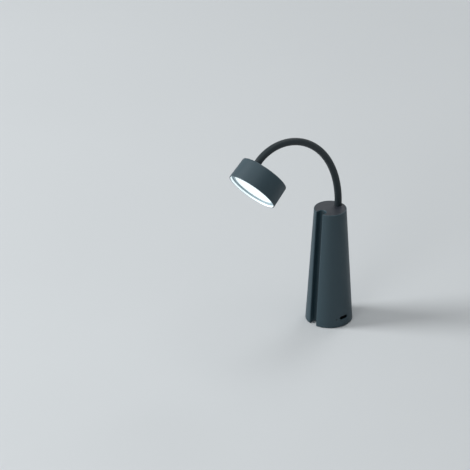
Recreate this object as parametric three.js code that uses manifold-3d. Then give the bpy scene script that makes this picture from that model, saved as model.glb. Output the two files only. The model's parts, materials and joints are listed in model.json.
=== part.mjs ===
// A cordless torch desk lamp: a tapered battery base with a full-height groove, a flexible arm that
// leaves its top face, and a round lamp head. Folded over the top, the arm lies in the groove, and the
// head then continues the taper under the base, so that the lamp is carried like a torch.
// Millimetres, +Z up, origin at the middle of the foot, groove and head towards -Y.
import * as THREE from 'three';
import { mergeVertices } from 'three/addons/utils/BufferGeometryUtils.js';
import Module from 'manifold-3d';

const wasm = await Module();
wasm.setup();

// Base
const base_height = 154;
const base_foot_radius = 29.4;
const base_top_radius = 20.2;
const shell_wall = 1.8;
const shadow_gap = 0.8;
const top_edge_round = 0.5;
const groove_width = 10;
const groove_depth = 10.6;
const groove_edge_round = 1.2;
const groove_wall = 1.5;
const cap_thickness = 1.2;
const cap_rim = 0.9;
const deck_thickness = 1.8;
const foot_thickness = 1.2;
const foot_inset = 2.6;
const plate_thickness = 2.4;

// Flexible arm
const arm_edge_distance = 6.3;
const sleeve_radius = 4.6;
const sleeve_bore_radius = 3.9;
const link_pitch = 14;
const link_radius = 3.05;
const link_count = 14;
const first_joint_height = 10.5;
const last_joint_to_head = 9.5;
const even_bend_deg = 6.7;
const head_end_bend_deg = 10.8;
const head_end_bend_power = 6;
const ball_radius = 2.35;
const ball_clearance = 0.25;
const neck_radius = 1.3;
const neck_length = 1.2;
const neck_taper_length = 2.6;
const cup_lip = 0.9;
const lead_bore_radius = 0.75;
const lead_flare_radius = 1.4;
const lead_radius = 0.5;

// Arm fastening, the same at both ends
const base_sleeve_sink = 4;
const head_sleeve_sink = 2;
const shoulder_radius = 4.4;
const shoulder_height = 2.4;
const web_thickness = 3;
const arm_boss_wall = 1.5;
const thread_radius = 2.6;
const thread_runout = 1;
const nut_height = 3;
const nut_across_flats = 8.5;

// Lamp head
const head_back_radius = 31.4;
const head_front_radius = 32.4;
const head_depth = 28.2;
const head_wall = 1.5;
const head_back_wall = 2.2;
const head_edge_round = 1.8;
const head_rim_round = 0.3;
const head_arm_edge_distance = 9.4;
const head_post_inset = 9.6;
const lens_recess = 3.4;
const bezel_thickness = 1.5;
const bezel_width = 3.8;
const bezel_ledge = 0.8;
const diffuser_flange = 1.4;
const diffuser_crown_gap = 0.3;
const light_frame_height = 4.2;
const light_frame_width = 2.4;
const led_board_thickness = 1.2;
const heat_sink_thickness = 2;
const led_size = 2.8;
const led_height = 0.7;
// Rings of light-emitting chips, their radii as shares of the board's.
const led_ring_shares = [{ radius: 0.28, count: 6 }, { radius: 0.59, count: 12 }];

// Inside the base
const weight_height = 34;
const weight_wall_gap = 0.75;
// Across and back, as shares of the weight's radius.
const weight_screw_shares = [[-0.325, 0.65], [-0.57, -0.325]];
const cell_radius = 9.2;
const cell_length = 65;
const cell_centre = [-3, 4];
const cell_crimp = 0.6;
const cell_crimp_height = 3.2;
const cell_tip_radius = 3.2;
const cell_tip_height = 1.2;
const cradle_wall = 1.2;
const cradle_floor = 2;
const cradle_opening_deg = 130;
const board_thickness = 1.2;
const board_back = 7.5;
const board_half_width = 12.5;
const board_to_weight_gap = 1.5;
const board_screw_inset = 3;
const component_gap = 1;
const plug_length = 6;
const plug_width = 4;
const plug_tall = 4;
// Across the board, as shares of its half width: the arm's plug, then the cell's.
const plug_shares = [0.5, 0.05];
const chip_tall = 1.4;
// Out as a share of the board's edge radius, across and size as shares of its half width.
const chip_shares = [
  { out: 0.58, across: -0.37, size: 0.37 },
  { out: 0.745, across: -0.69, size: 0.21 },
];
const port_azimuth_deg = -5;
const port_height = 12;
const port_width = 12;
const port_tall = 4.4;
const receptacle_width = 8.9;
const receptacle_tall = 3.2;
const receptacle_depth = 7.3;
const receptacle_sheet = 0.3;
const receptacle_mouth_inset = 1.1;
const indicator_from_port_deg = -21;
const indicator_radius = 0.6;
const indicator_length = 4;
const touch_pad_radius = 6;
const touch_pad_thickness = 0.4;
const battery_lead_spread = 1.2;

// Fasteners
const screw_head_radius = 2.5;
const screw_head_height = 1.2;
const screw_shank_radius = 1.25;
const screw_length = 8;
const screw_boss_radius = 3.4;
const screw_boss_height = 12;
const screw_boss_into_wall = 0.2;
const base_screw_azimuths_deg = [35, 145, 270];
const head_screw_azimuths_deg = [0, 120, 240];
const screw_hole_clearance = 0.25;

// Fits and cutting
const seat_gap = 0.3;
const slide_gap = 0.2;
const overrun = 2;

// Facets: the sides of round pieces by size, and the steps of round edges and of bent tubes.
const sides_large = 48;
const sides_medium = 24;
const sides_small = 12;
const sides_link = 8;
const sides_screw = 8;
const round_steps = 3;
const ball_steps = 3;
const groove_steps = 8;
const port_steps = 6;
const sleeve_sides = 6;
const sleeve_steps = 25;
const lead_sides = 4;
const base_lead_steps = 20;
const battery_lead_steps = 10;

const taper = (base_foot_radius - base_top_radius) / base_height;
const outerRadius = (z) => base_foot_radius - taper * z;
const innerRadius = (z) => outerRadius(z) - shell_wall;
const deck_underside = base_height - cap_thickness - deck_thickness;
const plate_top = foot_thickness + plate_thickness;
const groove_radius = groove_width / 2;
const cup_radius = ball_radius + ball_clearance;
const radians = THREE.MathUtils.degToRad;

// Materials: the colours are those of the lamp in daylight.
const finish = (color, roughness, metalness = 0, extra = {}) =>
  new THREE.MeshStandardMaterial({ color, roughness, metalness, ...extra });
const slate_plastic = finish(0x5c666e, 0.55);
const cap_plastic = finish(0x565f68, 0.6);
const arm_rubber = finish(0x3d454c, 0.7);
const grey_plastic = finish(0x8a9196, 0.5);
const white_plastic = finish(0xf2f4f5, 0.45);
const lit_diffuser = finish(0xffffff, 0.4, 0, { emissive: 0xeaf6ff, emissiveIntensity: 1 });
const black_plastic = finish(0x16181a, 0.5);
const foot_rubber = finish(0x202326, 0.85);
const steel = finish(0xb4b8bb, 0.35, 1);
const brass = finish(0xb59a55, 0.4, 1);
const aluminium = finish(0xc3c6c8, 0.45, 1);
const cast_iron = finish(0x4a4c4e, 0.7, 0.8);
const board_green = finish(0x1f5a3a, 0.6);
const board_white = finish(0xe8ebea, 0.5);
const chip_black = finish(0x1b1c1e, 0.6);
const cell_blue = finish(0x2f5d86, 0.45);
const lead_red = finish(0x8c2a26, 0.6);
const clear_plastic = finish(0xdfe6ea, 0.2);

// A closed three.js geometry as a solid, with its shared vertices merged.
function toSolid(geometry) {
  const bare = geometry.clone();
  for (const name of Object.keys(bare.attributes)) {
    if (name !== 'position') bare.deleteAttribute(name);
  }
  const merged = mergeVertices(bare, 1e-5);
  const index = Array.from(merged.index.array);
  const triangles = [];
  for (let i = 0; i < index.length; i += 3) {
    const [a, b, c] = [index[i], index[i + 1], index[i + 2]];
    if (a !== b && b !== c && c !== a) triangles.push(a, b, c);
  }
  return new wasm.Manifold(new wasm.Mesh({
    numProp: 3,
    vertProperties: Float32Array.from(merged.attributes.position.array),
    triVerts: Uint32Array.from(triangles),
  }));
}

function toGeometry(solid) {
  const mesh = solid.getMesh();
  const geometry = new THREE.BufferGeometry();
  const [corners, triangles] = [Float32Array.from(mesh.vertProperties), Uint32Array.from(mesh.triVerts)];
  geometry.setAttribute('position', new THREE.BufferAttribute(corners, 3));
  geometry.setIndex(new THREE.BufferAttribute(triangles, 1));
  geometry.computeVertexNormals();
  return geometry;
}

const join = (...solids) => solids.reduce((whole, solid) => whole.add(solid));
const cut = (body, ...tools) => tools.reduce((left, tool) => left.subtract(tool), body);

// A profile of [radius, height] pairs, its outer side running upwards, turned about Z.
function turned(profile, sides, centre = [0, 0], closed = false) {
  const points = profile.map(([r, z]) => new THREE.Vector2(Math.max(r, 0), z));
  if (closed) points.push(points[0].clone());
  const geometry = new THREE.LatheGeometry(points, sides);
  geometry.rotateX(Math.PI / 2);
  geometry.translate(centre[0], centre[1], 0);
  return toSolid(geometry);
}

const rod = (radius, low, high, sides = sides_small, centre = [0, 0]) =>
  turned([[0, low], [radius, low], [radius, high], [0, high]], sides, centre);

const ring = (outer, inner, low, high, sides, centre) =>
  turned([[inner, low], [outer, low], [outer, high], [inner, high]], sides, centre, true);

// Holes for a screw's shank: one that it bites into, and one that it passes.
const pilotHole = (place, low, high) =>
  rod(screw_shank_radius + slide_gap, low, high, sides_screw, place);
const clearHole = (place, low, high) =>
  rod(screw_shank_radius + screw_hole_clearance, low, high, sides_screw, place);

// A quarter circle from straight below its centre to straight outside it.
const quarterRound = (r, z, radius) => Array.from({ length: round_steps + 1 }, (_, i) => {
  const angle = (Math.PI / 2) * (i / round_steps - 1);
  return [r + radius * Math.cos(angle), z + radius * Math.sin(angle)];
});

function box(x, y, z) {
  const geometry = new THREE.BoxGeometry(x[1] - x[0], y[1] - y[0], z[1] - z[0]);
  geometry.translate((x[0] + x[1]) / 2, (y[0] + y[1]) / 2, (z[0] + z[1]) / 2);
  return toSolid(geometry);
}

function extruded(shape, low, high, curveSegments = groove_steps) {
  const options = { depth: high - low, bevelEnabled: false, curveSegments };
  const geometry = new THREE.ExtrudeGeometry(shape, options);
  geometry.translate(0, 0, low);
  return geometry;
}

// A rod that lies along X, from one end to the other, at a height.
function lyingRod(radius, from, to, y, z, sides = sides_small) {
  const geometry = new THREE.CylinderGeometry(radius, radius, to - from, sides);
  geometry.rotateZ(Math.PI / 2);
  geometry.translate((from + to) / 2, y, z);
  return toSolid(geometry);
}

// A stadium outline, wide along X, about the origin.
function stadium(width, tall) {
  const r = tall / 2;
  const flat = width / 2 - r;
  const shape = new THREE.Shape();
  shape.moveTo(-flat, -r);
  shape.lineTo(flat, -r);
  shape.absarc(flat, 0, r, -Math.PI / 2, Math.PI / 2, false);
  shape.lineTo(-flat, r);
  shape.absarc(-flat, 0, r, Math.PI / 2, (Math.PI * 3) / 2, false);
  return shape;
}

// A prism with that outline which lies along X.
function lyingStadium(width, tall, from, to, z) {
  const geometry = extruded(stadium(width, tall), 0, to - from, port_steps);
  geometry.rotateX(Math.PI / 2);
  geometry.rotateZ(Math.PI / 2);
  geometry.translate(from, 0, z);
  return toSolid(geometry);
}

function hexagon(across_flats, bore) {
  const shape = new THREE.Shape();
  const corner = across_flats / 2 / Math.cos(Math.PI / 6);
  for (let i = 0; i < 6; i += 1) {
    const angle = (i * Math.PI) / 3;
    const [x, y] = [corner * Math.cos(angle), corner * Math.sin(angle)];
    if (i === 0) shape.moveTo(x, y);
    else shape.lineTo(x, y);
  }
  shape.closePath();
  const hole = new THREE.Path();
  hole.absarc(0, 0, bore, 0, Math.PI * 2, true);
  shape.holes.push(hole);
  return shape;
}

// A tube of one section along a curve.
function tube(path, radius, sides, steps, bore = 0) {
  const shape = new THREE.Shape();
  shape.absarc(0, 0, radius, 0, Math.PI * 2, false);
  if (bore > 0) {
    const hole = new THREE.Path();
    hole.absarc(0, 0, bore, 0, Math.PI * 2, true);
    shape.holes.push(hole);
  }
  const geometry = new THREE.ExtrudeGeometry(shape, {
    steps, extrudePath: path, bevelEnabled: false, curveSegments: sides,
  });
  return toSolid(geometry);
}

const strand = (points, radius, sides, steps) =>
  tube(new THREE.CatmullRomCurve3(points.map((p) => new THREE.Vector3(...p))), radius, sides, steps);

function mesh(name, solid, material) {
  const made = new THREE.Mesh(toGeometry(solid), material);
  made.name = name;
  return made;
}

// Like pieces, numbered from 1.
const meshes = (name, solids, material) =>
  solids.map((solid, i) => mesh(`${name}_${i + 1}`, solid, material));

function group(...children) {
  const made = new THREE.Group();
  made.add(...children);
  return made;
}

// Polar place about the lamp's axis, measured from the groove towards +X.
const around = (radius, degrees) => [
  radius * Math.sin(radians(degrees)),
  -radius * Math.cos(radians(degrees)),
];

// A prism over the base's height leans with the taper, so that it stays parallel to the -Y side.
function followTaper(geometry) {
  return geometry.applyMatrix4(new THREE.Matrix4().set(
    1, 0, 0, 0,
    0, 1, taper, 0,
    0, 0, 1, 0,
    0, 0, 0, 1,
  ));
}

// The groove's U section at the level of the foot, grown by an offset, open towards -Y.
const groove_centre = -(base_foot_radius - groove_depth + groove_radius);
function grooveSection(offset) {
  const r = groove_radius + offset;
  const mouth = -(base_foot_radius + overrun);
  const shape = new THREE.Shape();
  shape.moveTo(-r, mouth);
  shape.lineTo(r, mouth);
  shape.absarc(0, groove_centre, r, 0, Math.PI, false);
  shape.closePath();
  return shape;
}

// The groove itself, with a rounded edge on both sides of its mouth.
function grooveCutterSection() {
  const r = groove_radius;
  const e = groove_edge_round;
  const middle_radius = (base_foot_radius + base_top_radius) / 2;
  const edge = base_foot_radius - (middle_radius - Math.sqrt(middle_radius ** 2 - (r + e) ** 2));
  const mouth = -(base_foot_radius + overrun);
  const shape = new THREE.Shape();
  shape.moveTo(-r - e, mouth);
  shape.lineTo(r + e, mouth);
  shape.lineTo(r + e, -edge);
  shape.absarc(r + e, -edge + e, e, -Math.PI / 2, Math.PI, true);
  shape.absarc(0, groove_centre, r, 0, Math.PI, false);
  shape.absarc(-r - e, -edge + e, e, 0, -Math.PI / 2, true);
  shape.closePath();
  return shape;
}

const groovePrism = (offset, low, high) =>
  toSolid(followTaper(extruded(grooveSection(offset), low, high)));

// Levels and places that pieces share
const arm_exit = [0, base_top_radius - arm_edge_distance];
const sleeve_hole_radius = sleeve_radius + slide_gap;
const web_start = (sink) => sink + shoulder_height + 2 * seat_gap;
const web_end = (sink) => web_start(sink) + web_thickness;
const board_top = port_height - receptacle_tall / 2 - slide_gap / 2;
const board_underside = board_top - board_thickness;
const indicator_height = board_top + indicator_radius + slide_gap;
const screw_boss_centre_radius = innerRadius(plate_top) - screw_boss_radius + screw_boss_into_wall;
const base_screw_places = base_screw_azimuths_deg.map((angle) =>
  around(screw_boss_centre_radius, angle));
const weight_radius = innerRadius(plate_top + weight_height) - weight_wall_gap;
const weight_screw_places = weight_screw_shares.map(([x, y]) => [x * weight_radius, y * weight_radius]);
const board_screw_places = [-1, 1].map((side) =>
  [board_back + board_screw_inset, side * (board_half_width - board_screw_inset)]);
const cradle_radius = cell_radius + seat_gap + cradle_wall;
const cradle_screw_reach = cradle_radius + screw_head_radius + seat_gap;
const cradle_foot_radius = cradle_screw_reach + screw_head_radius + seat_gap;
const cradle_screw_places = [
  [cell_centre[0], cell_centre[1] + cradle_screw_reach],
  [cell_centre[0] - cradle_screw_reach, cell_centre[1]],
];

function turnAboutAxis(solid, degrees) {
  const geometry = toGeometry(solid);
  geometry.rotateZ(radians(degrees));
  return toSolid(geometry);
}

// A self-tapping screw, its shank up from the underside of the head, or down where turned over.
function screw(place, seat, up, length = screw_length) {
  const head = [seat, seat - up * screw_head_height].sort((a, b) => a - b);
  const shank = [seat, seat + up * length].sort((a, b) => a - b);
  return join(
    rod(screw_head_radius, head[0], head[1], sides_screw, place),
    rod(screw_shank_radius, shank[0], shank[1], sides_screw, place),
  );
}

function makeBaseShell() {
  const top = base_height;
  const outer = turned([
    [0, shadow_gap],
    [outerRadius(shadow_gap), shadow_gap],
    [outerRadius(top - top_edge_round), top - top_edge_round],
    [outerRadius(top) - top_edge_round * (1 - Math.SQRT1_2), top - top_edge_round * (1 - Math.SQRT1_2)],
    [outerRadius(top) - top_edge_round, top],
    [0, top],
  ], sides_large);
  const cavity = turned([
    [0, shadow_gap - overrun],
    [innerRadius(shadow_gap - overrun), shadow_gap - overrun],
    [innerRadius(deck_underside), deck_underside],
    [0, deck_underside],
  ], sides_large);
  const cap_recess = cut(
    rod(base_top_radius - cap_rim, top - cap_thickness, top + overrun, sides_large),
    groovePrism(cap_rim, top - cap_thickness - overrun, top + 2 * overrun),
  );
  const boss_low = top - web_end(base_sleeve_sink);
  const arm_boss = rod(sleeve_hole_radius + arm_boss_wall, boss_low, top - cap_thickness,
    sides_medium, arm_exit);
  const screw_bosses = base_screw_places.map((place) =>
    rod(screw_boss_radius, plate_top, plate_top + screw_boss_height, sides_small, place));
  const inner_parts = join(groovePrism(groove_wall, shadow_gap, top), arm_boss, ...screw_bosses)
    .intersect(outer);
  const groove = toSolid(followTaper(extruded(grooveCutterSection(), -overrun, top + overrun)));
  const sleeve_hole = rod(sleeve_hole_radius, top - web_start(base_sleeve_sink), top + overrun,
    sides_medium, arm_exit);
  const thread_hole = rod(thread_radius + slide_gap, boss_low - overrun, top, sides_small, arm_exit);
  const pilots = base_screw_places.map((place) =>
    pilotHole(place, plate_top - overrun, plate_top + screw_length));
  const port = turnAboutAxis(
    lyingStadium(port_width, port_tall, innerRadius(port_height) - overrun, base_foot_radius + overrun,
      port_height),
    port_azimuth_deg,
  );
  const indicator = turnAboutAxis(
    lyingRod(indicator_radius + slide_gap, innerRadius(port_height) - overrun, base_foot_radius + overrun,
      0, indicator_height),
    port_azimuth_deg + indicator_from_port_deg,
  );
  return cut(join(cut(outer, cavity), inner_parts), cap_recess, groove, sleeve_hole, thread_hole, ...pilots,
    port, indicator);
}

function makeTopCap() {
  const top = base_height;
  return cut(
    rod(base_top_radius - cap_rim - slide_gap, top - cap_thickness, top, sides_large),
    groovePrism(cap_rim + slide_gap, top - cap_thickness - overrun, top + overrun),
    rod(sleeve_hole_radius, top - cap_thickness - overrun, top + overrun, sides_medium, arm_exit),
  );
}

const makeTouchPad = () =>
  rod(touch_pad_radius, deck_underside - touch_pad_thickness, deck_underside, sides_medium);

function makeBasePlate() {
  const blank = rod(innerRadius(plate_top) - seat_gap, foot_thickness, plate_top, sides_large);
  const standoffs = board_screw_places.map(([x, y]) =>
    turnAboutAxis(rod(screw_head_radius, plate_top - overrun / 2, board_underside, sides_small, [x, y]),
      port_azimuth_deg));
  const standoff_pilots = board_screw_places.map(([x, y]) =>
    turnAboutAxis(pilotHole([x, y], plate_top, board_underside + overrun),
      port_azimuth_deg));
  const places = [...base_screw_places, ...weight_screw_places];
  const head_seats = places.map((place) =>
    rod(screw_head_radius + screw_hole_clearance, foot_thickness - overrun,
      foot_thickness + screw_head_height + slide_gap, sides_small, place));
  const shank_holes = places.map((place) =>
    clearHole(place, foot_thickness, plate_top + overrun));
  return cut(join(blank, ...standoffs), groovePrism(groove_wall + seat_gap, -overrun, plate_top + overrun),
    ...standoff_pilots, ...head_seats, ...shank_holes);
}

function makeFootPad() {
  return cut(
    rod(base_foot_radius - foot_inset, 0, foot_thickness, sides_large),
    groovePrism(groove_wall + foot_inset - shell_wall, -overrun, foot_thickness + overrun),
  );
}

const screw_seat = foot_thickness + screw_head_height + slide_gap;
const makeBaseScrews = () => base_screw_places.map((place) => screw(place, screw_seat, 1));
const makeWeightScrews = () => weight_screw_places.map((place) => screw(place, screw_seat, 1));

function makeWeight() {
  const low = plate_top;
  const high = plate_top + weight_height;
  const flat = turnAboutAxis(
    box([board_back - board_to_weight_gap, weight_radius + overrun],
      [-weight_radius - overrun, weight_radius + overrun],
      [low - overrun, high + overrun]),
    port_azimuth_deg,
  );
  const boss_relief = base_screw_places.map((place) =>
    rod(screw_boss_radius + seat_gap, low - overrun, high + overrun, sides_small, place));
  const lower_pilots = weight_screw_places.map((place) =>
    pilotHole(place, low - overrun, low + screw_length));
  const upper_pilots = cradle_screw_places.map((place) =>
    pilotHole(place, high - screw_length, high + overrun));
  return cut(rod(weight_radius, low, high, sides_medium), flat,
    groovePrism(groove_wall + seat_gap, low - overrun, high + overrun),
    ...boss_relief, ...lower_pilots, ...upper_pilots);
}

const cradle_low = plate_top + weight_height;
const cell_low = cradle_low + cradle_floor + seat_gap;

function makeCradle() {
  const floor_top = cradle_low + cradle_floor;
  const foot = rod(cradle_foot_radius, cradle_low, floor_top, sides_medium, cell_centre);
  const outer = cradle_radius;
  const foot_end = box(
    [cell_centre[0] + outer, cell_centre[0] + 2 * outer],
    [cell_centre[1] - 2 * outer, cell_centre[1] + 2 * outer],
    [cradle_low - overrun, floor_top],
  );
  const wall = ring(outer, cell_radius + seat_gap, floor_top - overrun / 2, floor_top + cell_length,
    sides_medium, cell_centre);
  const opening = new THREE.Shape();
  const half = radians(cradle_opening_deg / 2);
  const reach = 2 * outer;
  opening.moveTo(0, 0);
  opening.lineTo(-reach * Math.sin(half), -reach * Math.cos(half));
  opening.lineTo(reach * Math.sin(half), -reach * Math.cos(half));
  opening.closePath();
  const mouth = extruded(opening, floor_top, floor_top + cell_length + overrun);
  mouth.translate(cell_centre[0], cell_centre[1], 0);
  const holes = cradle_screw_places.map((place) =>
    clearHole(place, cradle_low - overrun, floor_top + overrun));
  return cut(join(cut(foot, foot_end), cut(wall, toSolid(mouth))), ...holes);
}

const makeCradleScrews = () =>
  cradle_screw_places.map((place) => screw(place, cradle_low + cradle_floor, -1));

// A round cell with its crimped shoulder and raised positive end.
function makeCell() {
  const r = cell_radius;
  const high = cell_low + cell_length;
  const shoulder = high - cell_tip_height;
  const crimp_low = shoulder - cell_crimp_height;
  return turned([
    [0, cell_low],
    [r - cell_crimp / 2, cell_low],
    [r, cell_low + cell_crimp / 2],
    [r, crimp_low],
    [r - cell_crimp, crimp_low + cell_crimp],
    [r, crimp_low + 2 * cell_crimp],
    [r, shoulder - cell_crimp / 2],
    [r - cell_crimp, shoulder],
    [cell_tip_radius, shoulder],
    [cell_tip_radius, high],
    [0, high],
  ], sides_medium, cell_centre);
}

// The charging board and what stands on it are drawn with the port along +X, and turned to its place.
const board_edge = innerRadius(port_height) - 2 * seat_gap;
const receptacle_mouth = outerRadius(port_height) - receptacle_mouth_inset;
const receptacle_back = receptacle_mouth - receptacle_depth;
const plug_places = plug_shares.map((share) =>
  [receptacle_back - component_gap - plug_length / 2, share * board_half_width]);

function makeBoard() {
  const shape = new THREE.Shape();
  const corner = Math.asin(board_half_width / board_edge);
  shape.moveTo(board_back, -board_half_width);
  shape.absarc(0, 0, board_edge, -corner, corner, false);
  shape.lineTo(board_back, board_half_width);
  shape.closePath();
  const holes = board_screw_places.map(([x, y]) =>
    clearHole([x, y], board_underside - overrun, board_top + overrun));
  return cut(toSolid(extruded(shape, board_underside, board_top)), ...holes);
}

const makeBoardScrews = () =>
  board_screw_places.map((place) => screw(place, board_top, -1, board_top - plate_top - seat_gap));

function makeReceptacle() {
  const back = receptacle_back;
  const shell = lyingStadium(receptacle_width, receptacle_tall, back, receptacle_mouth, port_height);
  const hollow = lyingStadium(receptacle_width - 2 * receptacle_sheet, receptacle_tall - 2 * receptacle_sheet,
    back + 2 * receptacle_sheet, receptacle_mouth + overrun, port_height);
  const tongue_half = receptacle_width / 2 - receptacle_tall / 2;
  const tongue = box([back + receptacle_sheet, receptacle_mouth - 2 * receptacle_sheet],
    [-tongue_half, tongue_half],
    [port_height - receptacle_sheet, port_height + receptacle_sheet]);
  return join(cut(shell, hollow), tongue);
}

function makeIndicator() {
  const tip = outerRadius(indicator_height) - slide_gap;
  return turnAboutAxis(
    lyingRod(indicator_radius, tip - indicator_length, tip, 0, indicator_height, sides_link),
    indicator_from_port_deg,
  );
}

function makeIndicatorLed() {
  const front = outerRadius(indicator_height) - indicator_length - 2 * slide_gap;
  const half = indicator_radius + slide_gap / 2;
  return turnAboutAxis(
    box([front - 2 * half, front], [-half, half], [board_top, board_top + 2 * half]),
    indicator_from_port_deg,
  );
}

// A block that stands on the board, about a place.
const component = ([x, y], length, width, tall) =>
  box([x - length / 2, x + length / 2], [y - width / 2, y + width / 2], [board_top, board_top + tall]);

const makePlugs = () => plug_places.map((place) => component(place, plug_length, plug_width, plug_tall));

const makeChips = () => chip_shares.map(({ out, across, size }) =>
  component([out * board_edge, across * board_half_width],
    size * board_half_width, size * board_half_width, chip_tall));

// Arm: every link has a cup below that holds the last ball, and a ball above for the next cup.
function arc(centre, radius, from_deg, to_deg, steps) {
  const points = [];
  for (let i = 0; i <= steps; i += 1) {
    const angle = radians(from_deg + ((to_deg - from_deg) * i) / steps);
    points.push([radius * Math.sin(angle), centre - radius * Math.cos(angle)]);
  }
  return points;
}

const degrees = THREE.MathUtils.radToDeg;

// From the body over the neck and the ball to the bore, ball centre at a height.
function ballProfile(height) {
  const neck_deg = degrees(Math.asin(neck_radius / ball_radius));
  const flare_deg = 180 - degrees(Math.asin(lead_flare_radius / ball_radius));
  const neck_top = height - ball_radius * Math.cos(radians(neck_deg));
  return [
    [link_radius, neck_top - neck_length - neck_taper_length],
    [neck_radius, neck_top - neck_length],
    ...arc(height, ball_radius, neck_deg, flare_deg, ball_steps),
    [lead_bore_radius, height],
  ];
}

// The cup's inside from the bore down to its lip, and out to the body, ball centre at a height.
function cupProfile(height) {
  const flare_deg = 180 - degrees(Math.asin(lead_flare_radius / cup_radius));
  const lip_deg = degrees(Math.acos(cup_lip / cup_radius));
  return [
    [lead_bore_radius, height + cup_radius + lead_flare_radius / 2],
    ...arc(height, cup_radius, flare_deg, lip_deg, ball_steps),
    [link_radius, height - cup_lip],
  ];
}

const makeLink = () => turned([...cupProfile(0), ...ballProfile(link_pitch)], sides_link, [0, 0], true);

const nut_low = (sink) => web_end(sink) + seat_gap;
const thread_end = (sink) => nut_low(sink) + nut_height + thread_runout;

// The base end of the arm: a turned stem with a shoulder on the web, a thread below and the first ball.
function makeArmSocket() {
  const sink = base_sleeve_sink;
  return turned([
    [lead_bore_radius, -thread_end(sink)],
    [thread_radius, -thread_end(sink)],
    [thread_radius, -(sink + seat_gap + shoulder_height)],
    [shoulder_radius, -(sink + seat_gap + shoulder_height)],
    [shoulder_radius, -(sink + seat_gap)],
    [link_radius, -(sink + seat_gap)],
    ...ballProfile(first_joint_height),
  ], sides_small, [0, 0], true);
}

// The head end: a cup for the last ball, and the same shoulder and thread the other way round.
function makeHeadFerrule() {
  const sink = head_sleeve_sink;
  const face = last_joint_to_head;
  return turned([
    ...cupProfile(0),
    [link_radius, face + sink + seat_gap],
    [shoulder_radius, face + sink + seat_gap],
    [shoulder_radius, face + sink + seat_gap + shoulder_height],
    [thread_radius, face + sink + seat_gap + shoulder_height],
    [thread_radius, face + thread_end(sink)],
    [lead_bore_radius, face + thread_end(sink)],
  ], sides_small, [0, 0], true);
}

// Its flats face the wall behind it.
const makeNut = (low) =>
  toSolid(extruded(hexagon(nut_across_flats, thread_radius + slide_gap), low, low + nut_height));

// Bend at each joint of the standing arm: even, and growing steeply towards the head.
const joint_count = link_count + 1;
const bendAt = (k) => even_bend_deg + head_end_bend_deg * (k / (joint_count - 1)) ** head_end_bend_power;

// Joint centres in the lamp's frame, with one more point at each end, a pitch away along the arm.
const joint_centres = [];
let along = new THREE.Vector3(0, 0, 1);
let here = new THREE.Vector3(arm_exit[0], arm_exit[1], base_height + first_joint_height);
joint_centres.push(here.clone().addScaledVector(along, -link_pitch), here.clone());
for (let k = 0; k < joint_count; k += 1) {
  along = along.clone().applyAxisAngle(new THREE.Vector3(1, 0, 0), radians(bendAt(k)));
  here = here.clone().addScaledVector(along, link_pitch);
  joint_centres.push(here.clone());
}

// The sleeve's centreline touches every link at its middle.
function makeSleeve() {
  const path = new THREE.CurvePath();
  const low = new THREE.Vector3(arm_exit[0], arm_exit[1], base_height - base_sleeve_sink);
  const last = joint_centres.length - 2;
  const end_share = (last_joint_to_head + head_sleeve_sink) / link_pitch;
  const high = joint_centres[last].clone().lerp(joint_centres[last + 1], end_share);
  let from = low;
  for (let i = 1; i <= last; i += 1) {
    const before = i === 1 ? low : joint_centres[i - 1];
    const after = i === last ? high : joint_centres[i + 1];
    const enter = before.clone().lerp(joint_centres[i], 0.5);
    const leave = joint_centres[i].clone().lerp(after, 0.5);
    if (i === 1) path.add(new THREE.LineCurve3(from, enter));
    path.add(new THREE.QuadraticBezierCurve3(enter, joint_centres[i], leave));
    from = leave;
  }
  path.add(new THREE.LineCurve3(from, high));
  return tube(path, sleeve_radius, sleeve_sides, sleeve_steps, sleeve_bore_radius);
}

// The lead runs straight through each link and turns at the ball centres.
function makeArmLead() {
  const path = new THREE.CurvePath();
  for (let i = 1; i < joint_centres.length; i += 1) {
    path.add(new THREE.LineCurve3(joint_centres[i - 1], joint_centres[i]));
  }
  return tube(path, lead_radius, lead_sides, joint_centres.length - 1);
}

// Lamp head, drawn with its back face at zero height and its lit face up, arm hole towards +Y.
const headOuter = (z) => head_back_radius + ((head_front_radius - head_back_radius) * z) / head_depth;
const lens_level = head_depth - lens_recess;
const ledge_level = lens_level - bezel_thickness - seat_gap;
const headBore = (z) => headOuter(z) - head_wall;
const headPocket = (z) => headBore(z) - bezel_ledge;
const diffuser_low = ledge_level - diffuser_flange;
const frame_low = diffuser_low - seat_gap - light_frame_height;
const led_board_low = frame_low - seat_gap - led_board_thickness;
const heat_sink_low = led_board_low - seat_gap - heat_sink_thickness;
const post_top = heat_sink_low - seat_gap;
const head_arm_offset = head_back_radius - head_arm_edge_distance;
const head_post_places = head_screw_azimuths_deg.map((angle) =>
  around(head_back_radius - head_post_inset, angle));
const head_arm_place = [0, head_arm_offset];

// What drops into the head's pocket follows its tapered wall, a seat gap clear of it.
const pocketRadius = (z) => headPocket(z) - seat_gap;
const pocketDisc = (low, high) =>
  turned([[0, low], [pocketRadius(low), low], [pocketRadius(high), high], [0, high]], sides_medium);

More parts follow.
